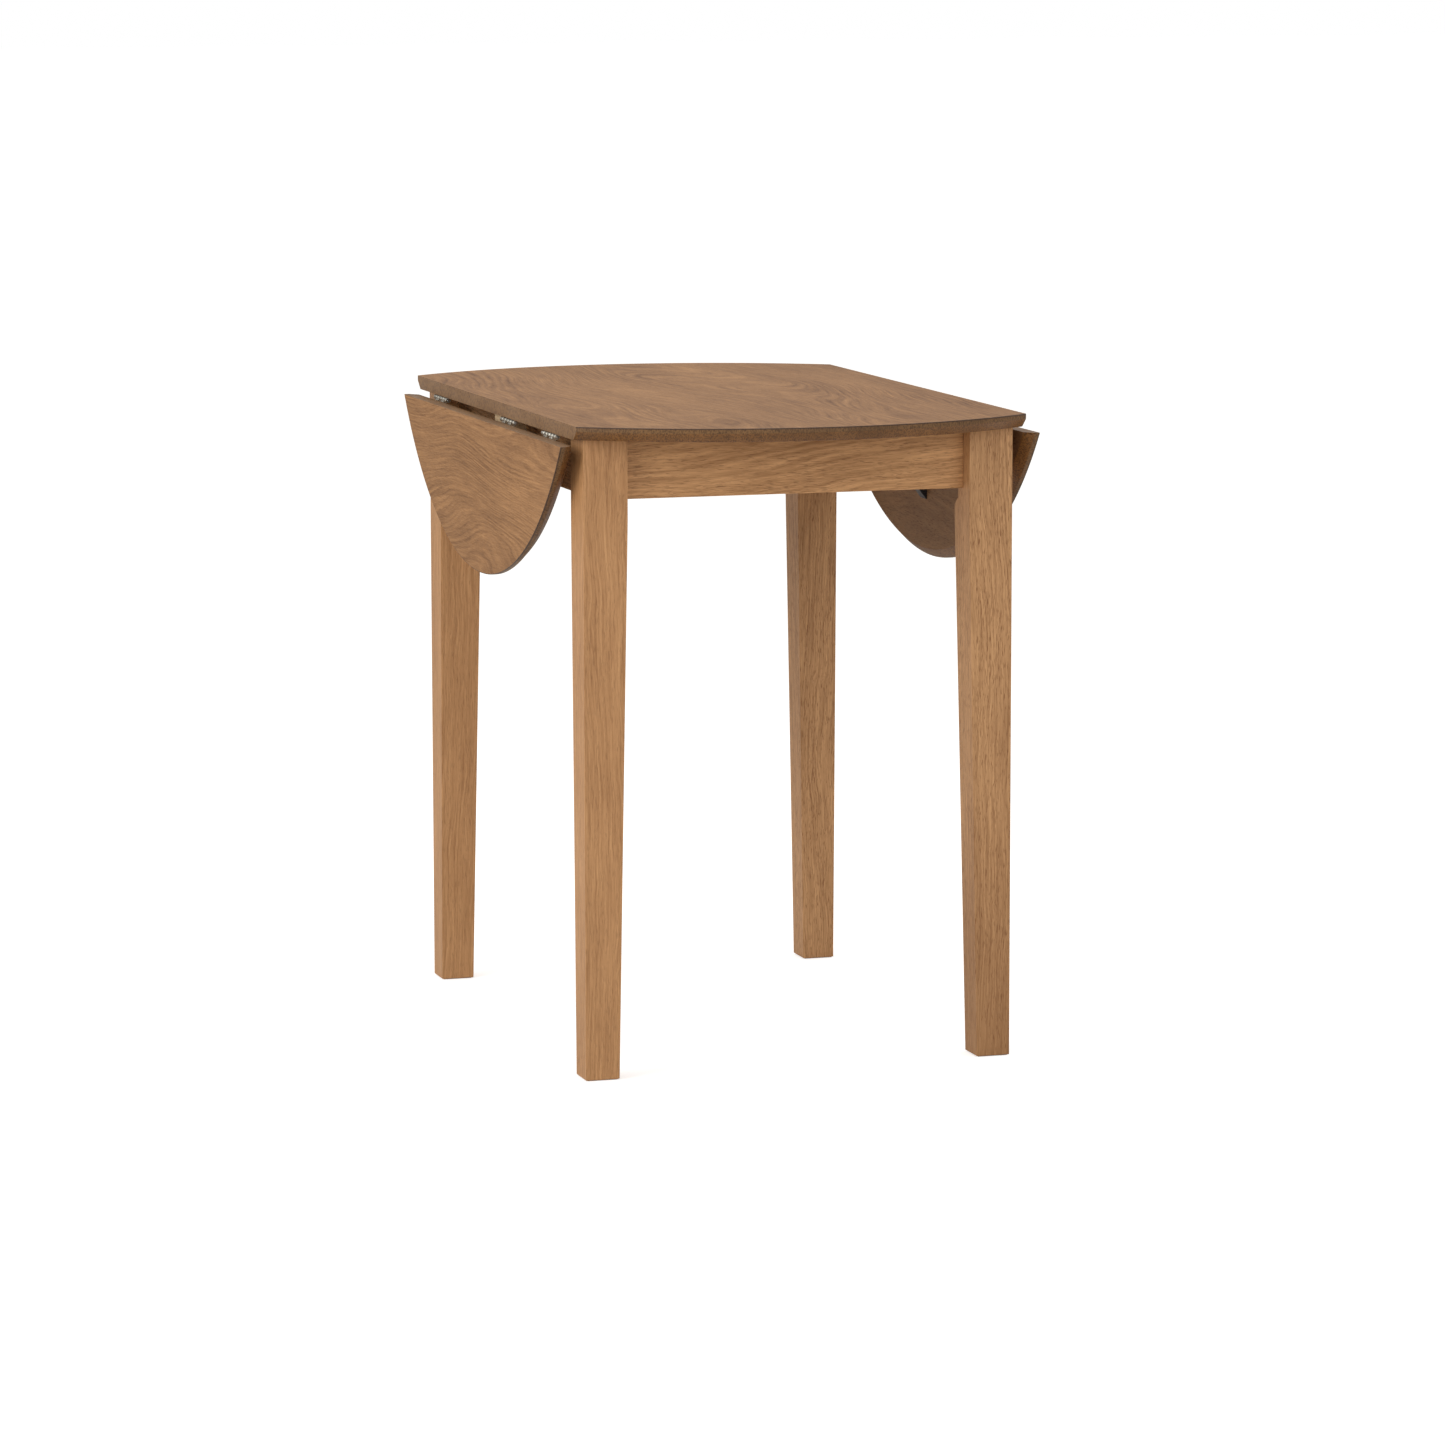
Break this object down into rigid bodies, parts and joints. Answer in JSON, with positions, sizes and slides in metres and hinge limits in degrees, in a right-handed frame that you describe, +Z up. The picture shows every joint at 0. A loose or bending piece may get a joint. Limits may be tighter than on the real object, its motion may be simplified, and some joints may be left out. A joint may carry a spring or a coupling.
{
  "type": "drop leaf table",
  "caption": "Round wooden drop leaf table with a fixed centre board, two hinged side leaves, pull-out support bars and square tapered legs, leaves down.",
  "frame": {"origin": "centre of the table on the floor", "axes": "+Z up, Y along the hinge lines with -Y the front, X across them with +X towards the right leaf"},
  "size_m": [0.5706, 0.9, 0.75],
  "materials": {
    "board_wood": "satin lacquered mid-brown wood, grain along the hinge lines",
    "leg_wood": "satin lacquered golden brown wood, grain along the leg",
    "apron_wood": "satin lacquered mid-brown wood, grain along the apron",
    "raw_wood": "unfinished pale hardwood",
    "hinge_steel": "nickel plated steel, satin",
    "bolt_steel": "zinc plated steel, dull",
    "black_plastic": "moulded black plastic"
  },
  "bodies": {
    "frame": {"top_panel": "board_wood", "leg_front_left": "leg_wood", "corner_block_front_left": "raw_wood", "hanger_bolt_front_left": "bolt_steel", "flange_nut_front_left": "bolt_steel", "leg_front_right": "leg_wood", "corner_block_front_right": "raw_wood", "hanger_bolt_front_right": "bolt_steel", "flange_nut_front_right": "bolt_steel", "leg_back_left": "leg_wood", "corner_block_back_left": "raw_wood", "hanger_bolt_back_left": "bolt_steel", "flange_nut_back_left": "bolt_steel", "leg_back_right": "leg_wood", "corner_block_back_right": "raw_wood", "hanger_bolt_back_right": "bolt_steel", "flange_nut_back_right": "bolt_steel", "apron_front": "apron_wood", "apron_back": "apron_wood", "apron_left": "apron_wood", "apron_right": "apron_wood", "hinge_left_front_panel_plate": "hinge_steel", "hinge_left_front_pin": "hinge_steel", "hinge_left_middle_panel_plate": "hinge_steel", "hinge_left_middle_pin": "hinge_steel", "hinge_left_back_panel_plate": "hinge_steel", "hinge_left_back_pin": "hinge_steel", "hinge_right_front_panel_plate": "hinge_steel", "hinge_right_front_pin": "hinge_steel", "hinge_right_middle_panel_plate": "hinge_steel", "hinge_right_middle_pin": "hinge_steel", "hinge_right_back_panel_plate": "hinge_steel", "hinge_right_back_pin": "hinge_steel", "left_bar_keeper": "raw_wood", "right_bar_keeper": "raw_wood", "top_angle_front_left": "hinge_steel", "top_angle_front_right": "hinge_steel", "top_angle_back_left": "hinge_steel", "top_angle_back_right": "hinge_steel", "top_angle_left": "hinge_steel", "top_angle_right": "hinge_steel"},
    "left_leaf": {"left_leaf": "board_wood", "hinge_left_front_leaf_plate": "hinge_steel", "hinge_left_middle_leaf_plate": "hinge_steel", "hinge_left_back_leaf_plate": "hinge_steel", "left_leaf_catch": "black_plastic"},
    "right_leaf": {"right_leaf": "board_wood", "hinge_right_front_leaf_plate": "hinge_steel", "hinge_right_middle_leaf_plate": "hinge_steel", "hinge_right_back_leaf_plate": "hinge_steel", "right_leaf_catch": "black_plastic"},
    "left_bar": {"left_support_bar": "raw_wood", "left_bar_stop_peg": "raw_wood"},
    "right_bar": {"right_support_bar": "raw_wood", "right_bar_stop_peg": "raw_wood"}
  },
  "joints": [
    {"name": "left_leaf_hinge", "type": "hinge", "parent": "frame", "child": "left_leaf", "pos_m": [-0.26585, 0, 0.73055], "axis": [0, 1, 0], "range_deg": [0, 90]},
    {"name": "right_leaf_hinge", "type": "hinge", "parent": "frame", "child": "right_leaf", "pos_m": [0.26585, 0, 0.73055], "axis": [0, -1, 0], "range_deg": [0, 90]},
    {"name": "left_bar_slide", "type": "slide", "parent": "frame", "child": "left_bar", "axis": [-1, 0, 0], "range_m": [0, 0.0085]},
    {"name": "right_bar_slide", "type": "slide", "parent": "frame", "child": "right_bar", "axis": [1, 0, 0], "range_m": [0, 0.0085]}
  ]
}
